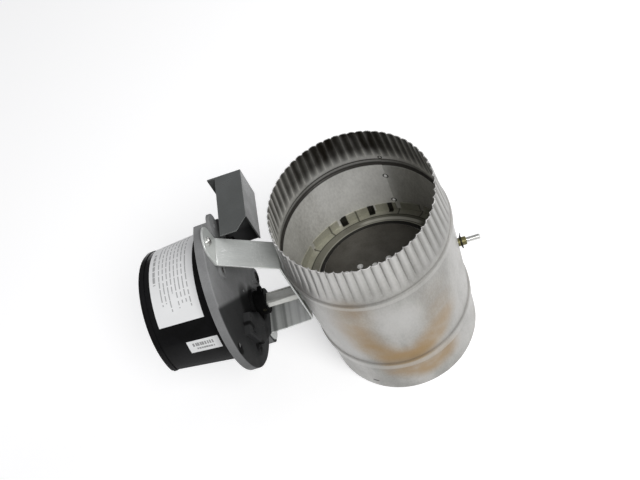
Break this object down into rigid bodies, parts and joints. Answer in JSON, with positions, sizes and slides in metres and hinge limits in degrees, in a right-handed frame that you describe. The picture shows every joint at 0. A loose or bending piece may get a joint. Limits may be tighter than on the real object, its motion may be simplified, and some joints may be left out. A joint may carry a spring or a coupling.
{
  "type": "motorised vent damper",
  "caption": "Round flue pipe with a crimped end, an inner butterfly blade on a cross shaft, and a side-mounted motor actuator on a hat bracket.",
  "frame": {"origin": "centre of the plain end's mouth", "axes": "+Z along the duct axis towards the crimped end, +X along the blade's shaft away from the actuator"},
  "size_m": [0.3, 0.161, 0.235],
  "materials": {
    "galvanised": "galvanised sheet, satin",
    "ring_steel": "yellowish dull sheet",
    "blade_steel": "dark oxidised sheet",
    "zinc": "zinc plated",
    "spring_steel": "dark spring steel",
    "brass": "turned brass",
    "bright_steel": "bright plated",
    "base_paint": "grey paint on a casting",
    "guard_paint": "grey paint on sheet",
    "cover_black": "gloss black",
    "hub_black": "matt black",
    "paper": "printed paper, left blank",
    "gear_plastic": "natural acetal",
    "board_green": "solder mask",
    "part_black": "moulded black"
  },
  "bodies": {
    "duct_and_actuator": {"damper_pipe": "galvanised", "seam_rivets": "bright_steel", "baffle_ring_far": "ring_steel", "baffle_ring_near": "ring_steel", "pivot_bush": "brass", "star_washer": "spring_steel", "hat_bracket": "galvanised", "bracket_rivets": "bright_steel", "bracket_spacers": "zinc", "actuator_base": "base_paint", "bracket_screws": "bright_steel", "cover_screws": "spring_steel", "guard_screws": "spring_steel", "motor_cover": "cover_black", "rating_label": "paper", "serial_label": "paper", "output_bush": "brass", "idler_arbor": "bright_steel", "gear_plate": "zinc", "plate_posts": "zinc", "plate_screws": "bright_steel", "gear_motor": "zinc", "motor_screws": "bright_steel", "open_switch": "part_black", "closed_switch": "part_black", "lever_pins": "bright_steel", "switch_screws": "bright_steel", "circuit_board": "board_green", "board_relay": "part_black", "board_capacitors": "part_black", "terminal_block": "board_green", "board_screws": "bright_steel", "harness_guard": "guard_paint", "harness_socket": "hub_black"},
    "blade_assembly": {"damper_blade": "blade_steel", "blade_shaft": "zinc", "blade_rivets": "bright_steel", "pivot_stud": "bright_steel", "stud_pin": "bright_steel", "drive_hub": "hub_black", "hub_screw": "spring_steel", "output_shaft": "bright_steel", "output_gear": "gear_plastic", "switch_cam": "gear_plastic"},
    "idler": {"idler_gear": "gear_plastic"},
    "motor_rotor": {"motor_pinion": "brass", "motor_shaft": "bright_steel"},
    "open_lever": {"open_switch_lever": "bright_steel"},
    "closed_lever": {"closed_switch_lever": "bright_steel"}
  },
  "joints": [
    {"name": "blade_hinge", "type": "hinge", "parent": "duct_and_actuator", "child": "blade_assembly", "pos_m": [0, 0, 0.111], "axis": [1, 0, 0], "range_deg": [0, 90]},
    {"name": "idler_hinge", "type": "hinge", "parent": "duct_and_actuator", "child": "idler", "pos_m": [-0.139, 0, 0.138], "axis": [1, 0, 0], "range_deg": [-362, 2]},
    {"name": "motor_hinge", "type": "hinge", "parent": "duct_and_actuator", "child": "motor_rotor", "pos_m": [-0.139, -0.01471, 0.15901], "axis": [1, 0, 0], "range_deg": [-5, 1355]},
    {"name": "open_lever_hinge", "type": "hinge", "parent": "duct_and_actuator", "child": "open_lever", "pos_m": [-0.1495, 0.0079, 0.125], "axis": [1, 0, 0], "range_deg": [0, 6]},
    {"name": "closed_lever_hinge", "type": "hinge", "parent": "duct_and_actuator", "child": "closed_lever", "pos_m": [-0.1495, -0.0093, 0.125], "axis": [1, 0, 0], "range_deg": [0, 6]}
  ],
  "couplings": [
    {"joint": "idler_hinge", "follows": "blade_hinge", "ratio": -4},
    {"joint": "motor_hinge", "follows": "blade_hinge", "ratio": 15},
    {"joint": "open_lever_hinge", "follows": "blade_hinge", "ratio": 0.0636},
    {"joint": "closed_lever_hinge", "follows": "blade_hinge", "ratio": 0.0636}
  ]
}
